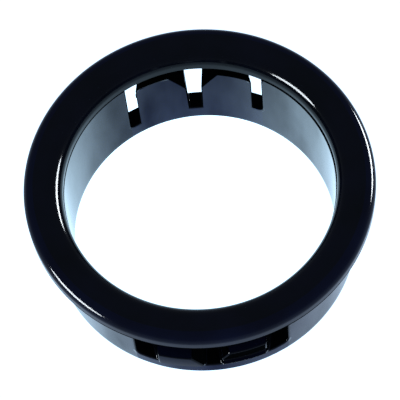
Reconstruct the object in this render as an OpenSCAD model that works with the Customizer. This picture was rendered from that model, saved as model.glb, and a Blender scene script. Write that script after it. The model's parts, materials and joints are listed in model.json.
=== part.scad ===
// Snap bushing: one moulded nylon ring that lines a round hole in a panel.
// The flange lies on the panel, and the fingers in the barrel's two windows lock behind it.
// The origin is on the bore's axis, level with the flange's seat. The barrel points down.

/* [Panel] */
// Diameter of the round hole that the bushing lines
panel_hole_d = 27.8; // [27.2:0.1:29.2]
// Thickest panel that the low shoulders lock behind
panel_t = 3.2; // [2.4:0.1:3.6]

/* [Bore and barrel] */
// Diameter of the bore that the cables pass through
bore_d = 23.8; // [20:0.1:24.6]
// Play between the barrel and the hole, on the diameter
hole_play = 0.2; // [0.1:0.1:1]
// Length of the barrel below the flange
barrel_len = 8.7; // [8:0.05:12]
// Rounding of the barrel's lower edges
barrel_edge_r = 0.15; // [0.05:0.05:0.4]

/* [Flange] */
// Diameter of the flange
flange_d = 30.7; // [30.2:0.1:36]
// Thickness of the flange
flange_t = 1.9; // [1.7:0.05:3.5]
// Rounding of the flange's rim, above
rim_r = 0.9; // [0.3:0.05:1]
// Rounding of the flange's rim, below
rim_low_r = 0.3; // [0.1:0.05:0.6]
// Rounding of the bore's mouth
mouth_r = 1.35; // [0.5:0.05:1.6]

/* [Windows] */
// Width of a window at the bore
window_w = 12.3; // [10.5:0.1:13.5]
// Depth of the slots' floors below the flange, at the bore
slot_depth = 7; // [6.4:0.05:7.2]
// Height by which one slot of the rear window stops short of the others
short_slot_rise = 1.4; // [0:0.05:2]
// Width of the slot between a window's two fingers, at its floor
centre_slot_w = 1.15; // [0.8:0.05:1.6]
// Width of the slot between a finger and the window's end, at its floor
end_slot_w = 0.85; // [0.6:0.05:1.1]
// Rounding of the floor's corner at the window's ends
end_corner_r = 0.5; // [0.1:0.05:0.6]
// Draft by which the slot between the fingers opens outwards, in degrees
slot_draft = 4; // [1:1:8]
// Draft by which the fingers narrow outwards along the end slots, in degrees
finger_draft = 10; // [2:1:12]
// Draft by which the window's ends open outwards, in degrees
end_draft = 18; // [4:1:24]
// Fall of the slots' floors towards the outside, in degrees
floor_draft = 10; // [4:1:16]
// Fall of the short slot's floor towards the outside, in degrees
short_floor_draft = 20; // [4:1:24]

/* [Fingers] */
// Gap between the fingers' tips and the flange
tip_gap = 0.9; // [0.5:0.05:1.4]
// Draft of the fingers' sides along the centre slot, from root to tip, in degrees
finger_taper = 1.5; // [0:0.5:4]
// Width of the slanted corner beside the centre slot
corner_w = 1.5; // [0.6:0.05:1.8]
// Height of the slanted corner beside the centre slot
corner_h = 2.35; // [1:0.05:3]
// Draft by which the slanted corners open outwards, in degrees
corner_draft = 18; // [4:1:24]

/* [Shoulders] */
// Reach of the shoulders past the edge of the hole
snap_bite = 1.1; // [0.5:0.05:1.15]
// Clearance between the thickest panel and the step of a low shoulder
panel_clearance = 0.1; // [0:0.05:0.6]
// Height of the high shoulder above the step of the low one
shoulder_rise = 0.3; // [0.2:0.05:1.2]
// Height of the upright land below a high shoulder
land_h = 1.6; // [0.5:0.1:2]
// Height of the step on top of the low shoulder
step_h = 1.2; // [0.4:0.05:1.3]
// Width of the step on top of the low shoulder
step_w = 0.4; // [0.2:0.05:0.5]

/* [Hidden] */
$fn = 96;
bore_r = bore_d / 2;
hole_r = panel_hole_d / 2;
barrel_r = hole_r - hole_play / 2;
flange_r = flange_d / 2;
snap_r = hole_r + snap_bite;
// The shoulders' ramps leave the barrel level with the slots' floors at the bore
ramp_foot = slot_depth;
low_step = panel_t + panel_clearance;
low_shoulder = low_step + step_h;
high_shoulder = low_step - shoulder_rise;
// How far the shoulders' section runs into the wall, and the cuts run past the shoulders
sink = 0.4;
// Size of the blocks that the windows are cut with
span = flange_d;

// Distance from the axis at which a cut meets the bore, at a place across the window
function bore_y(across) = sqrt(bore_r * bore_r - across * across);

// A box in section with its own rounding at each corner, anticlockwise from the lower inner one
module rounded_box(low, high, radii) {
    corners = [low, [high.x, low.y], high, [low.x, high.y]];
    inward = [[1, 1], [-1, 1], [-1, -1], [1, -1]];
    polygon([
        for (i = [0:3])
            let (along_x = [inward[i].x * radii[i], 0], along_y = [0, inward[i].y * radii[i]])
            each i % 2 == 0
                ? [corners[i] + along_y, corners[i] + along_x]
                : [corners[i] + along_x, corners[i] + along_y]
    ]);
    for (i = [0:3])
        if (radii[i] > 0)
            translate(corners[i] + radii[i] * inward[i])
                intersection() {
                    circle(radii[i]);
                    translate(-radii[i] / 2 * (inward[i] + [1, 1])) square(radii[i]);
                }
}

// Half section of the ring: the barrel's wall, with the flange at its upper end
module ring_section() {
    rounded_box([bore_r, -barrel_len], [barrel_r, 0], [barrel_edge_r, barrel_edge_r, 0, 0]);
    rounded_box([bore_r, 0], [flange_r, flange_t], [0, rim_low_r, rim_r, mouth_r]);
}

// Half section of a high shoulder: a ramp, an upright land and a flat top
module high_section() {
    ramp = (snap_r - barrel_r) / (ramp_foot - high_shoulder - land_h);
    polygon([
        [barrel_r - sink, -ramp_foot - sink / ramp],
        [snap_r, -high_shoulder - land_h],
        [snap_r, -high_shoulder],
        [barrel_r - sink, -high_shoulder]
    ]);
}

// Half section of a low shoulder: a ramp up to a sharp nose, and a step on top of it
module low_section() {
    ramp = (snap_r - barrel_r) / (ramp_foot - low_shoulder);
    polygon([
        [barrel_r - sink, -ramp_foot - sink / ramp],
        [snap_r, -low_shoulder],
        [snap_r - step_w, -low_shoulder],
        [snap_r - step_w, -low_step],
        [barrel_r - sink, -low_step]
    ]);
}

// The shoulders of one window that faces +Y, cut off in the middle of its end slots
module shoulders() {
    reach = (window_w - end_slot_w) / 2;
    intersection() {
        rotate_extrude() high_section();
        translate([0, 0, -barrel_len]) cube([reach, snap_r + sink, barrel_len]);
    }
    intersection() {
        rotate_extrude() low_section();
        translate([-reach, 0, -barrel_len]) cube([reach, snap_r + sink, barrel_len]);
    }
}

// Everything on the +X side of a wall that leans out upwards and opens outwards
module side_space(lean, draft) {
    rotate([0, -lean, draft])
        translate([0, -span / 2, -span / 2])
            cube(span);
}

// Everything above a floor that falls outwards by the draft
module floor_space() {
    rotate([-floor_draft, 0, 0])
        translate([-span / 2, -span / 2, 0])
            cube(span);
}

// The space between two such walls, with a width at its foot
module wedge(width, lean, draft) {
    intersection() {
        translate([-width / 2, 0, 0]) side_space(lean, draft);
        translate([width / 2, 0, 0]) mirror([1, 0, 0]) side_space(lean, draft);
    }
}

// The slot between a window's two fingers, and their slanted corners above its knee
module centre_cut() {
    knee = slot_depth - tip_gap - corner_h;
    knee_w = centre_slot_w + 2 * knee * tan(finger_taper);
    translate([0, bore_r, -slot_depth])
        intersection() {
            floor_space();
            union() {
                wedge(centre_slot_w, finger_taper, slot_draft);
                translate([0, 0, knee]) wedge(knee_w, atan(corner_w / corner_h), corner_draft);
            }
        }
}

// The slot between a finger on its -X side and the window's end, with a rounded corner at the end
module end_cut(depth, fall) {
    half = end_slot_w / 2;
    across = window_w / 2 - half;
    translate([across, bore_y(across), -depth])
        intersection() {
            translate([-half, 0, 0]) side_space(0, finger_draft);
            rotate([-fall, 0, -end_draft])
                rotate([90, 0, 0])
                    linear_extrude(height = span, center = true)
                        rounded_box([-across, 0], [half, span / 2], [0, end_corner_r, 0, 0]);
        }
}

// Everything that is cut from the wall for one window that faces +Y, up to the flange's seat
module window(rise, fall) {
    across = (window_w - end_slot_w) / 2;
    intersection() {
        union() {
            centre_cut();
            end_cut(slot_depth - rise, fall);
            mirror([1, 0, 0]) end_cut(slot_depth, floor_draft);
            translate([-across, 0, -tip_gap]) cube([2 * across, span, barrel_len]);
        }
        translate([-barrel_r, 0, -barrel_len]) cube([2 * barrel_r, snap_r + sink, barrel_len]);
    }
}

// The whole bushing, with the rear window at +Y and the front one at -Y
module snap_bushing() {
    color([0.05, 0.06, 0.09])
        difference() {
            union() {
                rotate_extrude() ring_section();
                for (turn = [0, 180]) rotate(turn) shoulders();
            }
            window(short_slot_rise, short_floor_draft);
            rotate(180) window(0, floor_draft);
        }
}

snap_bushing();
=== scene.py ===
# %% [markdown]
# # A nylon snap bushing
#
# This bushing is one moulded nylon ring. Its flange lies on a panel, its barrel lines the hole,
# and four fingers in the barrel's two windows lock it in place. The solid model gives the sizes,
# and this lesson makes the surface that the camera sees, with the small roundings of a moulded part.

# %% Load the solid model
import json
import math

import bmesh
import bpy
from mathutils import Matrix, Quaternion, Vector


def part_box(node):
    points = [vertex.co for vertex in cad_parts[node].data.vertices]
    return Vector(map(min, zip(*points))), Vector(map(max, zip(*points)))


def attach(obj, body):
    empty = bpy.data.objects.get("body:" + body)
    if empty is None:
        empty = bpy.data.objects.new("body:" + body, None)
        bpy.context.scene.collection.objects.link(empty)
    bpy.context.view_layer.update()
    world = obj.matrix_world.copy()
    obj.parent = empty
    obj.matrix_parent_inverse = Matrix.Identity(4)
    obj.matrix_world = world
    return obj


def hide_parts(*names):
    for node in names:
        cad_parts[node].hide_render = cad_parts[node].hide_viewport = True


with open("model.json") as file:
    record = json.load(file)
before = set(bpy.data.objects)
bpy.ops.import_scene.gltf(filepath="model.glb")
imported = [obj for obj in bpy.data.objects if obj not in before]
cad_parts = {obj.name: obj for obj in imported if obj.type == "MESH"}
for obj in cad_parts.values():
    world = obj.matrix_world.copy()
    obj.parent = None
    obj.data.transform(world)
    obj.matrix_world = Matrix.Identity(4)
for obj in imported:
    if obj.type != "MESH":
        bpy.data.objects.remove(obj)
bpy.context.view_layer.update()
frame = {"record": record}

# %% [markdown]
# ## Sizes that come with the solid
#
# The flange, the bore and the length can be read from the solid's box and from its bore mount, so
# they aren't typed again here. The barrel's radius is typed, because the wider flange hides it from
# the box. Blender works in metres, and a millimetre is a handier unit for a part that is hardly
# wider than a large coin.

# %% Read the main sizes
MM = 0.001
low, high = (Vector(corner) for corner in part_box("snap_bushing"))
mounts = {mount["name"]: mount for mount in frame["record"]["mounts"]}
bore_r = mounts["cable_bore"]["dims"]["r_mm"]
flange_r = high.x / MM
flange_t = high.z / MM
barrel_len = -low.z / MM
barrel_r = 13.8
print(f"bore {bore_r:.2f}, flange {flange_r:.2f} x {flange_t:.2f} mm")
print(f"barrel {barrel_r:.2f} x {barrel_len:.2f} mm")

# %% [markdown]
# ## The windows and their fingers
#
# The barrel has a window at the front and one at the rear, and two fingers stand in each of them.
# A moulder forms a window with a sliding core that is drawn outwards, so all of its faces open
# outwards a little. The sizes could be measured on the solid's mesh, but named ones say more to a
# reader, so these are the same sizes that the solid model was cut with.

# %% Name the sizes of a window, in millimetres and degrees
window_w = 12.3
slot_depth = 7.0
short_slot_rise = 1.4
centre_slot_w = 1.15
end_slot_w = 0.85
end_corner_r = 0.5
tip_gap = 0.9
corner_w = 1.5
corner_h = 2.35
slot_draft = math.radians(4)
finger_draft = math.radians(10)
end_draft = math.radians(18)
floor_draft = math.radians(10)
short_floor_draft = math.radians(20)
corner_draft = math.radians(18)
finger_taper = math.radians(1.5)
knee_z = -tip_gap - corner_h
knee_w = centre_slot_w + 2 * (slot_depth + knee_z) * math.tan(finger_taper)
print(f"fingers from z {-slot_depth:.2f} to {-tip_gap:.2f}, slanted corners above {knee_z:.2f}")

# %% [markdown]
# ## Sheets of quads
#
# A boolean would cut the windows in one step, but it leaves long thin faces along the cuts, and
# those shade badly on a glossy part. Here the skin is laid out sheet by sheet instead: a sheet is a
# grid of quads through rows of places, and neighbouring sheets share the places along their edges,
# so they can be welded at the end. Each face remembers its finish, as the number of a material slot.

# %% Make the sheet helper
MOULDED, POLISHED_PAINTED_REFLECTION, DULL_PAINTED_REFLECTION, PAINTED_SHADE, PAINTED_BLUE_REFLECTION = range(5)
skin = bmesh.new()


def sheet(rows, finish=MOULDED, closed=False):
    """Adds a grid of quads through rows of places in millimetres, each row as long as the others."""
    grid = [[skin.verts.new(place) for place in row] for row in rows]
    for lower, upper in zip(grid, grid[1:]):
        for i in range(len(lower) if closed else len(lower) - 1):
            j = (i + 1) % len(lower)
            face = skin.faces.new((lower[i], lower[j], upper[j], upper[i]))
            face.material_index = finish


print("an empty skin, ready for sheets in", PAINTED_BLUE_REFLECTION + 1, "finishes")

# %% [markdown]
# ## Places round the axis
#
# Nearly everything on a bushing lies on a cylinder about the bore's axis, so a place is easiest to
# give as an angle, a radius and a height. Rows of places come from even steps between two ends.

# %% Make helpers for places
def at(angle, radius, height):
    """A place on a cylinder about the bore's axis."""
    return Vector((radius * math.cos(angle), radius * math.sin(angle), height))


def angle_of(place):
    """Angle of a place about the bore's axis."""
    return math.atan2(place.y, place.x)


def blend(start, end, share):
    """A number or a place on the way from a start to an end."""
    return start + (end - start) * share


def steps(count):
    """Shares of a way in even steps, both ends included."""
    return [i / count for i in range(count + 1)]


print("the rear of the bore is at", at(math.pi / 2, bore_r, 0))

# %% [markdown]
# ## The planes that cut a window
#
# Each flat face of a window is where the sliding core lay against the nylon. The core could be
# modelled as a block, but the sheets only need the planes of its faces, so each one is kept as a
# direction across it and a place on it. Only the right-hand half of a window is described, and the
# other halves are mirrored from it.

# %% Describe the planes
end_half = end_slot_w / 2
end_across = window_w / 2 - end_half
end_y = math.sqrt(bore_r**2 - end_across**2)
end_right = Vector((math.cos(end_draft), -math.sin(end_draft), 0))

centre_side = (
    Vector((1, -math.tan(slot_draft), -math.tan(finger_taper) / math.cos(slot_draft))),
    Vector((centre_slot_w / 2, bore_r, -slot_depth)),
)
corner_side = (
    Vector((1, -math.tan(corner_draft), -corner_w / corner_h / math.cos(corner_draft))),
    Vector((knee_w / 2, bore_r, knee_z)),
)
finger_end = (Vector((1, math.tan(finger_draft), 0)), Vector((end_across - end_half, end_y, 0)))
window_end = (end_right, Vector((end_across, end_y, 0)) + end_right * end_half)
centre_floor = (
    Vector((0, math.sin(floor_draft), math.cos(floor_draft))),
    Vector((0, bore_r, -slot_depth)),
)


def end_floor(depth):
    """The floor of an end slot, which falls outwards more steeply in the short slot."""
    fall = floor_draft if depth == slot_depth else short_floor_draft
    outward = Vector((math.sin(end_draft), math.cos(end_draft), 0))
    up = outward * math.sin(fall) + Vector((0, 0, math.cos(fall)))
    return up, Vector((end_across, end_y, -depth))


print(f"an end slot's middle is {end_across:.2f} mm from the window's middle")

# %% [markdown]
# ## Edges on a cylinder
#
# A finger's edge is where one of these planes meets a cylinder about the axis. Cutting meshes would
# find it too, but an upright plane has a short formula that gives the edge at any radius and height.
# A corner, where a side also meets a sloping floor, is found by closing in on its height.

# %% Find where the planes meet a cylinder
HALVINGS = 30
CLOSING_ROUNDS = 12


def side_angle(plane, radius, height):
    """Angle at which an upright plane meets a cylinder, at a height."""
    across, place = plane
    reach = math.hypot(across.x, across.y)
    offset = across.dot(place) - across.z * height
    return math.atan2(across.y, across.x) + math.acos(offset / (radius * reach))


def knee_height(radius):
    """Height on a cylinder where a finger's side turns into its slanted corner, found by halving."""
    below, above = -slot_depth, 0
    for _ in range(HALVINGS):
        middle = (below + above) / 2
        if side_angle(centre_side, radius, middle) < side_angle(corner_side, radius, middle):
            below = middle
        else:
            above = middle
    return below


def floor_height(plane, angle, radius):
    """Height of a sloping floor at a place on a cylinder."""
    up, place = plane
    flat = at(angle, radius, 0)
    return (up.dot(place) - up.dot(flat)) / up.z


def floor_corner(side, floor, radius):
    """Place on a cylinder where a side meets a floor, found by closing in on its height."""
    height = -slot_depth
    for _ in range(CLOSING_ROUNDS):
        angle = side_angle(side, radius, height)
        height = floor_height(floor, angle, radius)
    return at(angle, radius, height)


wall_in = side_angle(window_end, bore_r, 0)
wall_out = side_angle(window_end, barrel_r, 0)
print(f"a window spans {180 - 2 * math.degrees(wall_in):.1f} degrees of the bore")

# %% [markdown]
# ## The shoulders' ramps
#
# Outside, each finger carries a shoulder that locks behind the panel. It begins with a ramp, which
# presses the finger inwards while the bushing is pushed into its hole. A ramp is a list of stops from
# the finger's root upwards, each a radius and a height. One stop lies where the raised floor of the
# short slot comes out, so that the ramps in all four quarters have the same rows.

# %% Lay out a ramp
snap_r = 15.0
ramp_foot = slot_depth
RAMP_ROWS = 4
ROOT_ROWS = 4


def ramp_stop(top, share):
    """A stop on the way from the barrel up to the shoulder."""
    return blend(barrel_r, snap_r, share), blend(-ramp_foot, top, share)


def short_floor_share(top):
    """How far up a ramp the raised floor of the short slot comes out."""
    floor = end_floor(slot_depth - short_slot_rise)
    share = 0.5
    for _ in range(CLOSING_ROUNDS):
        radius = blend(barrel_r, snap_r, share)
        height = floor_height(floor, side_angle(finger_end, radius, 0), radius)
        share = (height + ramp_foot) / (top + ramp_foot)
    return share


def ramp(top):
    """The stops of a ramp that ends at a height."""
    lower = short_floor_share(top)
    stops = [ramp_stop(top, lower * share) for share in steps(ROOT_ROWS - 1)]
    return stops + [ramp_stop(top, blend(lower, 1, share)) for share in steps(RAMP_ROWS)[1:]]


print(f"the ramps rise by {snap_r - barrel_r:.1f} mm in {ROOT_ROWS + RAMP_ROWS} stops")

# %% [markdown]
# ## The shoulders' profiles
#
# In each window one shoulder is high, with an upright land above its ramp, and the other is low,
# with a sharp nose and a step, so that the bushing holds in thick and in thin panels. A drawn and
# extruded curve would give the same section, but the drafted sides of the fingers cut it at another
# place at each height, so the profile stays a list of stops. Two places get a stop of their own: the
# knee, where the slanted corner begins, and a neck above the high shoulder. The row that is bent at
# the knee in the bore's sheet is noted beside each profile.

# %% Lay out the two profiles
high_shoulder, land_h, neck_h = 3.0, 1.6, 0.8
low_shoulder, step_h, step_w = 4.5, 1.2, 0.4

high_ramp = ramp(-high_shoulder - land_h)
high_profile = high_ramp + [
    (snap_r, knee_height(snap_r)),
    (snap_r, -high_shoulder),
    (barrel_r, -high_shoulder),
    (barrel_r, -high_shoulder + neck_h),
]
high_knee = len(high_ramp)

low_ramp = ramp(-low_shoulder)
low_step_r = snap_r - step_w
low_profile = low_ramp + [
    (low_step_r, -low_shoulder),
    (low_step_r, knee_height(low_step_r)),
    (low_step_r, -low_shoulder + step_h),
    (barrel_r, -low_shoulder + step_h),
]
low_knee = len(low_ramp) + 2
print(f"knees outside at {knee_height(snap_r):.2f} and {knee_height(low_step_r):.2f}")

# %% [markdown]
# ## One quarter of the barrel
#
# The barrel repeats four times: half a window with one finger and one end slot, then half of the
# plain wall beside it. A Mirror modifier would copy one quarter exactly, but the real quarters differ
# in the finger's shoulder, in the depth of the end slot and in the rounding of the tip. So functions
# build a quarter from these choices, with an inner sheet on the bore and an outer sheet on the
# outside. Both have the same rows and columns, and strips between their edges close the slots.

# %% Make helpers for a quarter
edge_r = 0.15
bottom = -barrel_len + edge_r


def mirrored(flip):
    """A sheet helper that mirrors each place across the window, and from rear to front, by two signs."""
    def add(rows, finish=MOULDED):
        sheet([[Vector((p.x * flip[0], p.y * flip[1], p.z)) for p in row] for row in rows], finish)

    return add


def ladder(stops):
    """Heights for every row, in even steps between the stops that are given as {row: height}."""
    rows = sorted(stops)
    heights = [stops[rows[0]]]
    for low_row, high_row in zip(rows, rows[1:]):
        run = steps(high_row - low_row)[1:]
        heights += [blend(stops[low_row], stops[high_row], share) for share in run]
    return heights


def column_down(top, shares):
    """A column of places from the barrel's lower edge up to a place on the same cylinder."""
    return [Vector((top.x, top.y, blend(bottom, top.z, share))) for share in shares]


def floor_row(depth):
    """The finger's row at the floor of its end slot, which is further up beside the short slot."""
    return ROOT_ROWS if depth < slot_depth else 0


print(f"the barrel's lower edge begins at {bottom:.2f} mm")

# %% [markdown]
# ## The end slot
#
# A slot runs between each finger and the window's end. Its floor falls outwards, and its corner at
# the window's end is rounded, because a sharp inner corner is where nylon tears. A bevel could round
# it after the cut. Here the lines of the rounding run along the floor's slope from the start, and
# each one ends where it meets the cylinder.

# %% Lay out an end slot
FLOOR_COLUMNS = 2
ARC_COLUMNS = 6


def run_to_cylinder(start, direction, radius):
    """The place where a line that leaves the axis behind meets a cylinder."""
    flat, along = start.xy, direction.xy
    half_b = flat.dot(along)
    reach = along.length_squared
    root = math.sqrt(half_b**2 - reach * (flat.length_squared - radius**2))
    return start + direction * ((root - half_b) / reach)


def end_slot(depth, radius):
    """Floor and rounded corner of an end slot on a cylinder, from the finger to the window's end."""
    floor = end_floor(depth)
    end_up, middle = floor
    end_out = end_up.cross(end_right)
    corner = []
    for turn in steps(ARC_COLUMNS):
        sine, cosine = math.sin(turn * math.pi / 2), math.cos(turn * math.pi / 2)
        start = middle + end_right * (end_half - end_corner_r * (1 - sine))
        start += end_up * end_corner_r * (1 - cosine)
        corner.append(run_to_cylinder(start, end_out, radius))
    root = floor_corner(finger_end, floor, radius)
    run = steps(FLOOR_COLUMNS)[:-1]
    angles = [blend(angle_of(root), angle_of(corner[0]), share) for share in run]
    return [at(angle, radius, floor_height(floor, angle, radius)) for angle in angles] + corner


print(f"the end slots come out at {end_slot(slot_depth, barrel_r)[0].z:.2f} mm")

# %% [markdown]
# ## A finger
#
# A finger stands on the barrel's foot and bends there as it snaps in. Its inner face is a piece of
# the bore, its outer face follows a shoulder's profile, and its tip is rounded at the corner beside
# the end slot. Each row is a list of places from the centre slot to the end slot, so the draft of
# both sides is already in the rows.

# %% Lay out the rows of a finger
FINGER_COLUMNS = 18


def tip_stops(round_r):
    """The last stops of a finger, through the rounding of its corner: height and set-back."""
    inset = round_r * (1 - math.sin(math.pi / 4))
    return [(-tip_gap - round_r, 0), (-tip_gap - inset, inset), (-tip_gap, round_r)]


def centre_angle(radius, height):
    """Angle of the finger's edge along the centre slot, with its slanted corner."""
    return min(side_angle(centre_side, radius, height), side_angle(corner_side, radius, height))


def finger_rows(radii, centre_heights, end_heights, set_backs):
    """Rows of places across a finger, from the centre slot to the end slot."""
    rows = []
    for radius, centre_z, end_z, set_back in zip(radii, centre_heights, end_heights, set_backs):
        start = centre_angle(radius, centre_z)
        end = side_angle(finger_end, radius, 0) + set_back / radius
        rows.append([
            at(blend(start, end, share), radius, blend(centre_z, end_z, share))
            for share in steps(FINGER_COLUMNS)
        ])
    return rows


def root_heights(radius):
    """Heights of a finger's root on a cylinder, at the centre slot and at the end slot."""
    centre_root = floor_corner(centre_side, centre_floor, radius)
    end_root = floor_corner(finger_end, end_floor(slot_depth), radius)
    return centre_root.z, end_root.z


print("a finger's roots in the bore:", [round(height, 2) for height in root_heights(bore_r)])

# %% [markdown]
# ## Close a finger
#
# The inner rows are spread evenly between the root, the knee and the tip, and the outer rows follow
# the profile. Both sheets have the same number of rows, so strips from one to the other make the
# tip and the two sides, with no caps to fill. The strips and the outer tip's rounding get painted
# shade, the inner sheet gets the dull skin around a window with its painted blue reflection, and the
# outer sheet gets the faint painted blue reflection of the outside.

# %% Build a finger
def finger(add, profile, knee, depth, round_r):
    """Adds a finger, and returns the rows of its inner and outer sheets."""
    first = floor_row(depth)
    tip = tip_stops(round_r)
    set_backs = [0] * (1 + len(profile)) + [set_back for _, set_back in tip]
    count = len(set_backs)
    tip_rows = {count - len(tip) + i: height for i, (height, _) in enumerate(tip)}

    centre_z, end_z = root_heights(bore_r)
    centre_heights = ladder({0: centre_z, knee: knee_z, **tip_rows})
    end_rows = {0: end_z, **tip_rows}
    if first:
        end_rows[first] = end_slot(depth, bore_r)[0].z
    inner = finger_rows([bore_r] * count, centre_heights, ladder(end_rows), set_backs)

    centre_z, end_z = root_heights(barrel_r)
    heights = [height for _, height in profile] + [height for height, _ in tip]
    radii = [barrel_r] + [radius for radius, _ in profile] + [barrel_r] * len(tip)
    outer = finger_rows(radii, [centre_z] + heights, [end_z] + heights, set_backs)

    for rows, face, rounded_tip in ((inner, DULL_PAINTED_REFLECTION, DULL_PAINTED_REFLECTION), (outer, PAINTED_BLUE_REFLECTION, PAINTED_SHADE)):
        add(rows[:1 - len(tip)], face)
        add(rows[-len(tip):], rounded_tip)
    clear = first + 1 if first else 0
    add([inner[-1], outer[-1]], PAINTED_SHADE)
    add([[row[0] for row in inner], [row[0] for row in outer]], PAINTED_SHADE)
    add([[row[-1] for row in inner[clear:]], [row[-1] for row in outer[clear:]]], PAINTED_SHADE)
    return inner, outer


print("rows on a finger:", 1 + len(high_profile) + len(tip_stops(0)))

# %% [markdown]
# ## The wall around a window
#
# Below the fingers the barrel's foot is closed all round, and beside a window its wall is plain.
# A tube primitive has columns of its own, which would miss the slots. So these columns hang down
# from the places on the slots' floors, and beside the window they even out step by step until they
# stand straight in the middle of the plain wall.

# %% Build the wall on one cylinder
CENTRE_COLUMNS = 3
WALL_COLUMNS = 46
FOOT_ROWS = 5
WALL_ROWS = 8


def wall(add, rows, depth, radius):
    """Adds the foot, the block below the end slot and the plain wall, and returns their edges."""
    first = floor_row(depth)
    edge = angle_of(rows[0][0])
    angles = [blend(math.pi / 2, edge, share) for share in steps(CENTRE_COLUMNS)]
    centre = [at(angle, radius, floor_height(centre_floor, angle, radius)) for angle in angles]
    foot = [column_down(top, steps(FOOT_ROWS)) for top in centre[:-1] + rows[0]]

    end = end_slot(depth, radius)
    shares = steps(FOOT_ROWS)
    if first:
        beside = [row[-1].z for row in rows[1:first]]
        levels = ladder({0: bottom, FOOT_ROWS: rows[0][-1].z}) + beside + [end[0].z]
        shares = [(level - bottom) / (end[0].z - bottom) for level in levels]
    block = [column_down(top, shares) for top in end]

    end_angle, end_z = angle_of(end[-1]), end[-1].z
    rise_shares = steps(WALL_ROWS + ROOT_ROWS - first)
    rise = [at(end_angle, radius, blend(end_z, 0, share)) for share in rise_shares]
    window_edge = block[-1] + rise[1:]
    even_top = end_slot(slot_depth, radius)[-1].z
    even = ladder({0: bottom, FOOT_ROWS: even_top, FOOT_ROWS + ROOT_ROWS + WALL_ROWS: 0})
    plain = [
        [
            at(blend(end_angle, 0, share), radius, blend(place.z, height, share))
            for place, height in zip(window_edge, even)
        ]
        for share in steps(WALL_COLUMNS)
    ]
    # The foot and the block get the dull skin with its painted blue reflection, and the plain wall gets
    # the polished skin with its painted blue reflection and painted shine.
    add(foot, DULL_PAINTED_REFLECTION)
    add(block, DULL_PAINTED_REFLECTION)
    add(plain, POLISHED_PAINTED_REFLECTION)
    feet = [column[0] for column in foot[:-1] + block[:-1] + plain]
    return {"centre": centre, "end": end, "rise": rise, "block": block, "feet": feet}


print("columns of plain wall in a quarter:", WALL_COLUMNS)

# %% [markdown]
# ## The raised root and the lower edge
#
# Beside the short slot the shoulder's ramp begins below the slot's raised floor, so its side stands
# proud of the barrel there and needs faces of its own. The barrel's lower edge is rounded inside and
# outside, to let the bushing find its hole. This edge is wider than the others and runs all round,
# so its rows are laid out here, and only the finer edges are left to a bevel.

# %% Build the raised root and the lower edge
EDGE_ROWS = 5


def raised_root(add, inner, outer, outside):
    """Adds the side of the ramp below the short slot's floor."""
    first, clear = ROOT_ROWS, ROOT_ROWS + 1
    root = outside["end"][0]
    # These faces get painted shade.
    add([[row[-1] for row in outer[1:clear]], outside["block"][0][FOOT_ROWS + 1:]], PAINTED_SHADE)
    add([[inner[first][-1], root], [inner[clear][-1], outer[clear][-1]]], PAINTED_SHADE)
    add([[root, outer[first][-1]], [root, outer[clear][-1]]], PAINTED_SHADE)


def lower_edge(add, feet_in, feet_out):
    """Adds the barrel's lower edge between the feet of the inner and the outer columns."""
    turns = [math.pi / 2 * share for share in steps(EDGE_ROWS)]
    drops = [(edge_r * (1 - math.cos(turn)), bottom - edge_r * math.sin(turn)) for turn in turns]
    stops = [(bore_r + inset, height) for inset, height in drops]
    stops += [(barrel_r - inset, height) for inset, height in reversed(drops)]
    feet = [(angle_of(inside), angle_of(outside)) for inside, outside in zip(feet_in, feet_out)]
    rows = []
    for radius, height in stops:
        out = (radius - bore_r) / (barrel_r - bore_r)
        rows.append([at(blend(start, end, out), radius, height) for start, end in feet])
    add(rows)


print("rows round the lower edge:", 2 * (EDGE_ROWS + 1))

# %% [markdown]
# ## The four quarters
#
# The high and the low shoulder change places from the rear window to the front one, as if the front
# were the rear turned round. Only the right-hand slot at the rear is short, and the finger beside
# it has the larger rounding at its tip. Four calls with these choices are all that is left to do.

# %% Build the four quarters
tip_round, short_tip_round = 0.25, 0.4


def quarter(flip, profile, knee, depth, round_r):
    """Adds one quarter of the barrel, mirrored by the signs in flip."""
    add = mirrored(flip)
    inner, outer = finger(add, profile, knee, depth, round_r)
    inside = wall(add, inner, depth, bore_r)
    outside = wall(add, outer, depth, barrel_r)
    # The strips that close the slots get painted shade.
    for strip in ("centre", "end", "rise"):
        add([inside[strip], outside[strip]], PAINTED_SHADE)
    if depth < slot_depth:
        raised_root(add, inner, outer, outside)
    lower_edge(add, inside["feet"], outside["feet"])


quarter((1, 1), high_profile, high_knee, slot_depth - short_slot_rise, short_tip_round)
quarter((-1, 1), low_profile, low_knee, slot_depth, tip_round)
quarter((-1, -1), high_profile, high_knee, slot_depth, tip_round)
quarter((1, -1), low_profile, low_knee, slot_depth, tip_round)
print("barrel:", len(skin.faces), "quads before welding")

# %% [markdown]
# ## The flange's section
#
# The flange is a turned shape: its section runs from the bore, over the mouth's rounding and the
# flat top, round the rim and back along the underside. The mould's two halves meet at the bore's
# mouth, and their circles are not quite on one axis, so a fine ledge shows where the mouth stands
# back from the bore: it is wider on one side than on the other.

# %% Lay out the flange's section
rim_r, rim_low_r, mouth_r = 0.9, 0.3, 1.35
seam_h = 0.12
mouth_step = 0.07
mouth_wall_h = 0.3
ARC_ROWS = 24
TOP_ROWS = 4


def arc(centre_r, centre_z, radius_r, radius_z, start, end):
    """Stops of a rounded corner in the flange's section, with angles in quarter turns."""
    turns = [math.pi / 2 * blend(start, end, share) for share in steps(ARC_ROWS)]
    return [(centre_r + radius_r * math.cos(turn), centre_z + radius_z * math.sin(turn)) for turn in turns]


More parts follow.
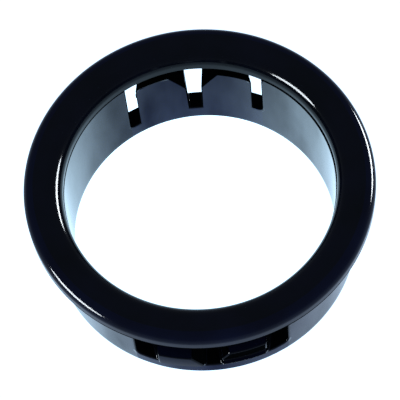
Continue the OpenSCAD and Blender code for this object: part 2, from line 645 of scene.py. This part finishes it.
mouth_edge = bore_r + mouth_r
mouth_wall = bore_r + mouth_step
flat_shares = steps(TOP_ROWS)[1:-1]
section = [(mouth_wall, height) for height in (0, mouth_wall_h)]
section += arc(mouth_edge, flange_t - mouth_r, mouth_edge - mouth_wall, mouth_r, 2, 1)
section += [(blend(mouth_edge, flange_r - rim_r, share), flange_t) for share in flat_shares]
rim = len(section)
section += arc(flange_r - rim_r, flange_t - rim_r, rim_r, rim_r, 1, 0)
rim_foot = len(section)
section += [(flange_r, rim_low_r + seam_h)]
section += arc(flange_r - rim_low_r, rim_low_r, rim_low_r, rim_low_r, 0, -1)
section += [(barrel_r, 0)]
print("the flange's section has", len(section), "stops")

# %% [markdown]
# ## Turn the section round the axis
#
# A Screw modifier would turn the section in even steps, but the flange's columns have to meet those
# of the barrel. So each stop becomes a row with the barrel's own angles, which shift from those of
# the bore to those of the outside on the way out. The rim gets a painted blue reflection, a little
# bluer than the flat top, and its lower rounding, from the mould's seam down, gets painted shade,
# nearly black and without shine, so the flange is laid in four bands.

# %% Build the flange
ROOF_COLUMNS = 26
mouth_shift = Vector((0.03, 0, 0))


def all_round(end_angle):
    """Angles of the flange's columns all the way round, in step with the walls and the windows."""
    right = [blend(0, end_angle, share) for share in steps(WALL_COLUMNS)]
    right += [blend(end_angle, math.pi / 2, share) for share in steps(ROOF_COLUMNS)][1:]
    half = right + [math.pi - angle for angle in reversed(right[:-1])]
    return half + [angle + math.pi for angle in half[1:-1]]


def mouth_place(place):
    """Shifts a place with the mouth's circle, less and less towards the flat top."""
    share = (mouth_edge - place.xy.length) / (mouth_edge - mouth_wall)
    return place + mouth_shift * max(0, min(1, share))


angles_in, angles_out = all_round(wall_in), all_round(wall_out)
flange = []
for radius, height in section:
    out = max(0, min(1, (radius - mouth_wall) / (barrel_r - mouth_wall)))
    row = [at(blend(start, end, out), radius, height) for start, end in zip(angles_in, angles_out)]
    above_seat = height > 0 or radius == mouth_wall
    flange.append([mouth_place(place) for place in row] if above_seat else row)
sheet(flange[:rim + 1], MOULDED, closed=True)
sheet(flange[rim:rim_foot + 1], PAINTED_BLUE_REFLECTION, closed=True)
sheet(flange[rim_foot:-1], PAINTED_SHADE, closed=True)
sheet(flange[-2:], MOULDED, closed=True)
print("flange:", len(flange), "rows of", len(angles_in), "columns")

# %% [markdown]
# ## The ledge and the windows' roofs
#
# The mould's ledge joins the flange's mouth to the bore. Over a window there is no bore to join, so
# the flange's underside runs on to the mouth there and roofs the window. One strip goes round the
# mouth and picks the ledge or the roof for each column, and a small triangle closes each end.

# %% Close the flange
quarter_columns = WALL_COLUMNS + ROOF_COLUMNS
ledge = [at(angle, bore_r, 0) for angle in angles_in]
mouth, seat = flange[0], flange[-1]
# The ledge, the roofs and the end triangles get painted shade.
for i in range(len(mouth)):
    j = (i + 1) % len(mouth)
    from_wall = quarter_columns - abs((i + 0.5) % (2 * quarter_columns) - quarter_columns)
    below = seat if from_wall > WALL_COLUMNS else ledge
    sheet([[mouth[i], mouth[j]], [below[i], below[j]]], PAINTED_SHADE)
for i in (WALL_COLUMNS, WALL_COLUMNS + 2 * ROOF_COLUMNS):
    for k in (i, i + 2 * quarter_columns):
        sheet([[ledge[k], mouth[k]], [ledge[k], seat[k]]], PAINTED_SHADE)
print("all sheets:", len(skin.faces), "quads before welding")

# %% [markdown]
# ## Weld the sheets
#
# Merging by distance joins the sheets into one skin, and an edge without two faces would show a hole
# in it, so those are counted. The upright riser of the low shoulder's step stands deep under the
# flange, in shade, so it gets the slots' painted shade.

# %% Close the skin
WELD_DISTANCE = 0.002
RISER_TOLERANCE = 0.03
bmesh.ops.remove_doubles(skin, verts=skin.verts, dist=WELD_DISTANCE)
bmesh.ops.recalc_face_normals(skin, faces=skin.faces)
open_edges = [edge for edge in skin.edges if len(edge.link_faces) != 2]
for face in skin.faces:
    middle = face.calc_center_median()
    on_riser = abs(middle.xy.length - low_step_r) < RISER_TOLERANCE
    if on_riser and -low_shoulder < middle.z < -low_shoulder + step_h:
        face.material_index = PAINTED_SHADE
print("skin:", len(skin.faces), "faces,", len(open_edges), "open edges")

# %% [markdown]
# ## Round the edges
#
# Real moulded edges are never razor sharp: a rounding of about a tenth of a millimetre is what
# catches the light along the fingers. A Bevel modifier would do it too, but the bevel of bmesh also
# hands back the faces that it made, so those inside the slots and near the tips can get painted
# shade, which takes their glints away. Edges at the level of the flange's seat and slight creases
# are only marked as sharp.

# %% Bevel the moulded edges
EDGE_ANGLE = math.radians(28)
CREASE_ANGLE = math.radians(16)
EDGE_WIDTH = 0.11
EDGE_SEGMENTS = 3
SEAT_TOLERANCE = 0.01
INNER_BAND = 0.4
TIP_BAND = 0.6
moulded = []
for edge in skin.edges:
    if edge.calc_face_angle() > EDGE_ANGLE:
        if all(abs(end.co.z) < SEAT_TOLERANCE for end in edge.verts):
            edge.smooth = False
        else:
            moulded.append(edge)
    elif edge.calc_face_angle() > CREASE_ANGLE:
        edge.smooth = False
rounded = bmesh.ops.bevel(
    skin, geom=moulded, offset=EDGE_WIDTH, offset_type="OFFSET", segments=EDGE_SEGMENTS, profile=0.5,
    affect="EDGES", clamp_overlap=False, material=MOULDED,
)
# Roundings inside the slots and near the tips get painted shade.
for face in rounded["faces"]:
    middle = face.calc_center_median()
    inside = middle.xy.length < bore_r + INNER_BAND and middle.z > -slot_depth
    if inside or middle.z > -tip_gap - TIP_BAND:
        face.material_index = PAINTED_SHADE
for face in skin.faces:
    face.smooth = True
print(len(moulded), "edges rounded,", len(skin.faces), "faces")

# %% [markdown]
# ## The piece
#
# The skin becomes one object in metres. It stands for the solid of the bushing and moves with its
# body. Plain smooth shading would let the thin roundings bend the light on the broad faces beside
# them, so a Weighted Normal modifier lets the broad faces win.

# %% Make the piece
def show(name, data):
    """A new object in the scene."""
    thing = bpy.data.objects.new(name, data)
    bpy.context.scene.collection.objects.link(thing)
    return thing


mesh = bpy.data.meshes.new("snap_bushing_skin")
bmesh.ops.scale(skin, vec=(MM, MM, MM), verts=skin.verts)
skin.to_mesh(mesh)
skin.free()
bushing = show("snap_bushing_skin", mesh)
normals = bushing.modifiers.new("smooth faces", "WEIGHTED_NORMAL")
normals.keep_sharp = True
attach(bushing, "root")
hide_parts("snap_bushing")
print("piece:", bushing.name, "with", len(mesh.polygons), "faces")

# %% [markdown]
# ## Clouds and grain in the nylon
#
# Nylon in one flat colour looks like a computer's plastic. The real skin is clouded where the core
# dragged along it, and it is never quite even. An image could hold that, but noise textures have no
# seam and no pixels. A broad noise, drawn out along the barrel, makes the clouds in the colour, the
# roughness and the shine, and a fine one makes the grain by a bump.

# %% Make helpers for textures
CLOUDS_PER_M, CLOUD_DETAIL = 260, 3
GRAINS_PER_M, GRAIN_DETAIL = 2600, 2
GRAIN_STRENGTH, GRAIN_HEIGHT = 0.015, 0.02 * MM
DRAG = 0.35
NOISE_SPAN = (0.3, 0.7)


def noise(tree, vector, scale, detail):
    """A noise texture's values, with a scale in patches per metre."""
    texture = tree.nodes.new("ShaderNodeTexNoise")
    texture.inputs["Scale"].default_value = scale
    texture.inputs["Detail"].default_value = detail
    tree.links.new(vector, texture.inputs["Vector"])
    return texture.outputs["Fac"]


def spread(tree, values, ends):
    """The middle span of a noise, spread over a range between two ends."""
    range_node = tree.nodes.new("ShaderNodeMapRange")
    range_node.inputs["From Min"].default_value, range_node.inputs["From Max"].default_value = NOISE_SPAN
    range_node.inputs["To Min"].default_value, range_node.inputs["To Max"].default_value = ends
    tree.links.new(values, range_node.inputs["Value"])
    return range_node.outputs["Result"]


def colours_between(tree, values, positions, colours):
    """A colour ramp of two stops."""
    ramp_node = tree.nodes.new("ShaderNodeValToRGB")
    for stop, position, colour in zip(ramp_node.color_ramp.elements, positions, colours):
        stop.position, stop.color = position, colour
    tree.links.new(values, ramp_node.inputs["Fac"])
    return ramp_node.outputs["Color"]


print(f"clouds of about {1 / CLOUDS_PER_M / MM:.1f} mm, grains of about {1 / GRAINS_PER_M / MM:.1f} mm")

# %% [markdown]
# ## Shine that changes round the axis
#
# The walls mirror the room, and the mirrored light is brighter at some angles round the axis than at
# others. That is painted into the shine, which rises and falls round the axis as a painted
# reflection. Weight painting could say where, but the change is only by angle: a radial gradient
# gives the angle, a colour ramp gives the shine at named angles, and the clouds make it patchy.

# %% Make the helper for the shine
HAZE = (0.4, 1.6)


def shine_round(tree, place, clouds, shine):
    """The specular level from {azimuth in degrees: level}, clouded by the broad noise."""
    around = tree.nodes.new("ShaderNodeTexGradient")
    around.gradient_type = "RADIAL"
    levels = tree.nodes.new("ShaderNodeValToRGB")
    stops = levels.color_ramp.elements
    stops.remove(stops[1])
    for azimuth, level in shine.items():
        stop = stops.new((azimuth + 180) / 360)
        stop.color = (level, level, level, 1)
    stops.remove(stops[0])
    hazed = tree.nodes.new("ShaderNodeMath")
    hazed.operation = "MULTIPLY"
    tree.links.new(place, around.inputs["Vector"])
    tree.links.new(around.outputs["Fac"], levels.inputs["Fac"])
    tree.links.new(levels.outputs["Color"], hazed.inputs[0])
    tree.links.new(spread(tree, clouds, HAZE), hazed.inputs[1])
    return hazed.outputs["Value"]


print("the clouds take the shine from", HAZE[0], "to", HAZE[1], "times its level")

# %% [markdown]
# ## The nylon's finishes
#
# Moulded nylon copies the skin of its mould. The flange has a plain skin, the polished core leaves
# glossy walls, and the sliding cores leave a duller skin around the windows. The walls and the skin
# around the windows also carry a painted blue reflection in their base colour, and their shine is
# set round the axis to paint the brightness of the mirrored light there. The rim and the fingers'
# outsides carry a fainter painted blue reflection. The slots' faces and the other faces in deep
# shade get painted shade: nearly black and without shine. The plastic is nearly black, so most of
# what shows on it is the mirrored surroundings: a low specular level makes a wall dark when it is
# seen straight on, and bright when it is seen along.

# %% Make the five materials
def nylon(name, shade, tint, roughness, shine):
    """A nearly black plastic: two base colours, two roughnesses, and one shine or a shine by azimuth."""
    material = bpy.data.materials.new(name)
    material.use_nodes = True
    tree = material.node_tree
    shader = tree.nodes["Principled BSDF"]
    place = tree.nodes.new("ShaderNodeTexCoord").outputs["Object"]
    stretch = tree.nodes.new("ShaderNodeMapping")
    stretch.inputs["Scale"].default_value = (1, 1, DRAG)
    tree.links.new(place, stretch.inputs["Vector"])

    clouds = noise(tree, stretch.outputs["Vector"], CLOUDS_PER_M, CLOUD_DETAIL)
    colour = colours_between(tree, clouds, NOISE_SPAN, ((*shade, 1), (*tint, 1)))
    tree.links.new(colour, shader.inputs["Base Color"])
    tree.links.new(spread(tree, clouds, roughness), shader.inputs["Roughness"])
    if isinstance(shine, dict):
        tree.links.new(shine_round(tree, place, clouds, shine), shader.inputs["Specular IOR Level"])
    else:
        shader.inputs["Specular IOR Level"].default_value = shine

    grain = tree.nodes.new("ShaderNodeBump")
    grain.inputs["Strength"].default_value = GRAIN_STRENGTH
    grain.inputs["Distance"].default_value = GRAIN_HEIGHT
    tree.links.new(noise(tree, place, GRAINS_PER_M, GRAIN_DETAIL), grain.inputs["Height"])
    tree.links.new(grain.outputs["Normal"], shader.inputs["Normal"])
    mesh.materials.append(material)


# The shine by azimuth in degrees, from 0 at the right and 90 at the rear: a painted reflection that sets
# how bright the mirrored light is at each angle
wall_painted_shine = {
    -180: 0.2, -122: 0.13, -58: 0.1, -40: 0.13, -10: 0.22, 30: 0.27, 40: 0.23, 50: 0.18, 60: 0.1,
    121: 0.05, 130: 0.08, 140: 0.13, 150: 0.19, 160: 0.25, 180: 0.21,
}
window_painted_shine = {
    -121: 0.04, -104: 0.025, -90: 0.01, -74: 0.03, -59: 0.05,
    50: 0.1, 59: 0.11, 76: 0.05, 104: 0.04, 121: 0.055,
}
nylon("black_nylon", (0.003, 0.004, 0.006), (0.004, 0.005, 0.01), (0.07, 0.1), 0.045)
# The glossy walls, with a painted blue reflection and a painted shine by azimuth.
nylon("black_nylon_polished", (0.002, 0.004, 0.014), (0.004, 0.007, 0.026), (0.08, 0.14), wall_painted_shine)
# The duller skin around the windows, with a stronger painted blue reflection and a painted shine by
# azimuth.
nylon("black_nylon_dull", (0.002, 0.004, 0.022), (0.005, 0.009, 0.042), (0.1, 0.2), window_painted_shine)
# Painted shade: nearly black and without shine, for the slots' faces and the faces under the flange.
nylon("black_nylon_cut", (0.001, 0.0013, 0.0015), (0.0015, 0.002, 0.0022), (0.45, 0.55), 0.0)
# The plain skin with a faint painted blue reflection in its base colour, for the rim and the fingers'
# outsides.
nylon("black_nylon_bloom", (0.003, 0.004, 0.011), (0.004, 0.006, 0.019), (0.07, 0.1), 0.045)
print("finishes:", [material.name for material in mesh.materials])

# %% [markdown]
# ## The camera
#
# The picture was taken with a long lens from above the front window, tipped a little to one side.
# The angles below were found by matching the ellipses of the flange and the bore. Blender's camera
# could be aimed with a Track To constraint, but a matrix made from its three axes keeps that tilt
# exactly, with no lens shift.

# %% Place the camera
PICTURE_PX = 400
FOCAL_PX = 2016.5
AIM_PX = Vector((1.288, -12.808))
SENSOR_MM = 36
view_azimuth = math.radians(2.7)
view_elevation = math.radians(62.915)
view_roll = math.radians(-6.945)
view_distance = 176.28 * MM

back = Vector((
    math.sin(view_azimuth) * math.cos(view_elevation),
    -math.cos(view_azimuth) * math.cos(view_elevation),
    math.sin(view_elevation),
))
level_right = Vector((math.cos(view_azimuth), math.sin(view_azimuth), 0))
level_up = back.cross(level_right)
forward = (-back - level_right * AIM_PX.x / FOCAL_PX + level_up * AIM_PX.y / FOCAL_PX).normalized()
side = forward.cross(level_up).normalized()
top = side.cross(forward)
camera_x = side * math.cos(view_roll) + top * math.sin(view_roll)
camera_y = top * math.cos(view_roll) - side * math.sin(view_roll)

camera_data = bpy.data.cameras.new("camera")
camera_data.sensor_width = SENSOR_MM
camera_data.lens = FOCAL_PX / PICTURE_PX * SENSOR_MM
camera_data.clip_start = 1 * MM
camera = show("camera", camera_data)
camera_axes = Matrix((camera_x, camera_y, -forward)).transposed().to_4x4()
camera.matrix_world = Matrix.Translation(back * view_distance) @ camera_axes
bpy.context.scene.camera = camera
print(f"lens {camera_data.lens:.1f} mm")

# %% [markdown]
# ## The floor
#
# The part stands on a plain pale floor, wide enough to fill the picture. One quad is enough for it,
# level with the barrel's foot.

# %% Lay the floor
FLOOR_HALF = 0.6
corners = [(-1, -1), (1, -1), (1, 1), (-1, 1)]
floor_places = [(x * FLOOR_HALF, y * FLOOR_HALF, low.z) for x, y in corners]
floor_mesh = bpy.data.meshes.new("floor")
floor_mesh.from_pydata(floor_places, [], [(0, 1, 2, 3)])
floor = show("floor", floor_mesh)
print(f"floor at {low.z / MM:.2f} mm")

# %% [markdown]
# ## The light table
#
# The floor is a white table that glows from below, so the part throws no shadow on it. A cool lamp
# under the table makes a soft spot where the part stands, a little brighter than the white around
# it: in the picture all of the table is plain white, but the barrel's walls mirror the spot in a
# cool grey. A lamp below the floor would need glass, so the floor's own material gives the light,
# with a spherical gradient for the spot.

# %% Make the floor glow
SPOT_CENTRE = Vector((-2, 2, 0)) * MM
SPOT_REACH = 18 * MM
SPOT_EDGE = (0.02, 0.35)
SPOT_COLOUR = (0.59, 0.84, 1.04, 1)
PAPER_COLOUR = (0.46, 0.585, 0.75, 1)
TABLE_BASE = (0.1, 0.1, 0.1, 1)
TABLE_ROUGHNESS = 0.9
TABLE_GLOW = 2.15

table = bpy.data.materials.new("light_table")
table.use_nodes = True
tree = table.node_tree
spot = tree.nodes.new("ShaderNodeMapping")
spot.inputs["Scale"].default_value = [1 / SPOT_REACH] * 3
spot.inputs["Location"].default_value = -(SPOT_CENTRE + Vector((0, 0, low.z))) / SPOT_REACH
falloff = tree.nodes.new("ShaderNodeTexGradient")
falloff.gradient_type = "SPHERICAL"
tree.links.new(tree.nodes.new("ShaderNodeTexCoord").outputs["Object"], spot.inputs["Vector"])
tree.links.new(spot.outputs["Vector"], falloff.inputs["Vector"])
glow = colours_between(tree, falloff.outputs["Fac"], SPOT_EDGE, (PAPER_COLOUR, SPOT_COLOUR))
shader = tree.nodes["Principled BSDF"]
tree.links.new(glow, shader.inputs["Emission Color"])
shader.inputs["Base Color"].default_value = TABLE_BASE
shader.inputs["Roughness"].default_value = TABLE_ROUGHNESS
shader.inputs["Specular IOR Level"].default_value = 0.0
shader.inputs["Emission Strength"].default_value = TABLE_GLOW
floor_mesh.materials.append(table)
print(f"a spot of {SPOT_REACH / MM:.0f} mm on the table")

# %% [markdown]
# ## The room
#
# The flange's flat top mirrors what is above it, and in the picture it is nearly black. So the room
# is dimmer overhead than along the horizon, and the paler horizon draws the fine lines on the
# roundings of the mouth and the rim. A picture of a real room would put shapes in the mirrored
# light, and a ramp from the horizon upwards keeps it plain.

# %% Make the sky
HORIZON = (0.6, 0.7, 0.85, 1)
OVERHEAD = (0.4, 0.45, 0.55, 1)
SKY_BAND = (0.03, 0.35)
world = bpy.data.worlds.new("studio")
bpy.context.scene.world = world
world.use_nodes = True
tree = world.node_tree
split = tree.nodes.new("ShaderNodeSeparateXYZ")
tree.links.new(tree.nodes.new("ShaderNodeTexCoord").outputs["Generated"], split.inputs["Vector"])
sky = colours_between(tree, split.outputs["Z"], SKY_BAND, (HORIZON, OVERHEAD))
tree.links.new(sky, tree.nodes["Background"].inputs["Color"])
print("sky: pale at the horizon, dimmer overhead")

# %% [markdown]
# ## Two light boxes
#
# The bright streaks on the flange's roundings are the mirror images of two low light boxes, one on
# the right and one on the left. A rounding mirrors a box at the place where its normal points half
# way between the box and the camera, so the streaks in the picture give the boxes' directions.
# Glowing panels would do as well, but area lamps give less noise.

# %% Hang the light boxes
BOX_DISTANCE = 0.3
BOX_COLOUR = (0.86, 0.94, 1.0)


def light_box(name, azimuth, elevation, roll, width, height, power):
    """A soft lamp that faces the part, with its direction in degrees and its size in metres."""
    turn, rise = math.radians(azimuth), math.radians(elevation)
    away = Vector((math.cos(turn) * math.cos(rise), math.sin(turn) * math.cos(rise), math.sin(rise)))
    data = bpy.data.lights.new(name, "AREA")
    data.shape = "ELLIPSE"
    data.size, data.size_y = width, height
    data.energy = power
    data.color = BOX_COLOUR
    box = show(name, data)
    box.visible_diffuse = False
    box.location = away * BOX_DISTANCE
    tilt = Quaternion((0, 0, 1), math.radians(roll))
    box.rotation_euler = (away.to_track_quat("Z", "Y") @ tilt).to_euler()
    print(f"{name}: azimuth {azimuth}, elevation {elevation}, {power} W")


light_box("right_box", azimuth=29, elevation=11, roll=0, width=0.18, height=0.08, power=8.0)
light_box("left_box", azimuth=-158, elevation=9, roll=-8, width=0.17, height=0.095, power=9.0)

# %% [markdown]
# ## The view transform
#
# The standard view transform shows the colours as they were set, where a film-like one would soften
# the whites.

# %% Set the view transform
bpy.context.scene.view_settings.view_transform = "Standard"
